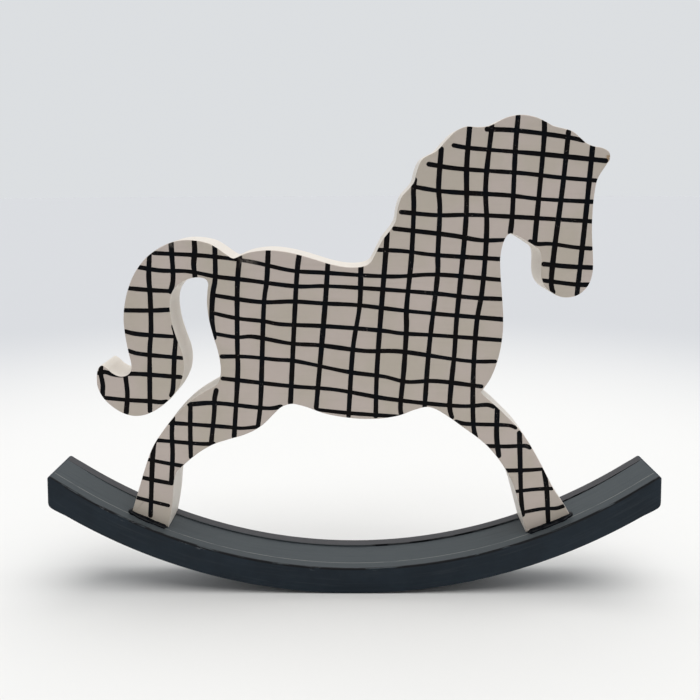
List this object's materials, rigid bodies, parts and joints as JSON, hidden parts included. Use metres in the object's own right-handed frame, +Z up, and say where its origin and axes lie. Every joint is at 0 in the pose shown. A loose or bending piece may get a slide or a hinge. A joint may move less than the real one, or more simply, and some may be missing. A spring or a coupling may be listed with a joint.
{
  "type": "rocking horse ornament",
  "caption": "Flat board rocking horse on a curved laminated rocker, a small shelf ornament painted with a hand-drawn line grid.",
  "frame": {"origin": "middle of the rocker's lowest facet, at the middle of its length and depth, on the surface it stands on", "axes": "+X towards the horse's head, +Y towards the back of the board, +Z up"},
  "size_m": [0.241, 0.025, 0.187],
  "materials": {
    "greige_paint": "satin warm grey paint over board",
    "charcoal_paint": "satin charcoal paint over board, brushed along the length",
    "zinc_steel": "zinc plated",
    "painted_filler": "matt painted plug",
    "black_gloss": "glossy black paint marker and glue"
  },
  "bodies": {
    "root": {"horse_board": "greige_paint", "rocker_core": "charcoal_paint", "rocker_front_cheek": "charcoal_paint", "rocker_rear_cheek": "charcoal_paint", "hind_foot_screw": "zinc_steel", "fore_foot_screw": "zinc_steel", "hind_screw_plug": "painted_filler", "fore_screw_plug": "painted_filler", "hind_foot_glue": "black_gloss", "fore_foot_glue": "black_gloss"}
  },
  "joints": []
}
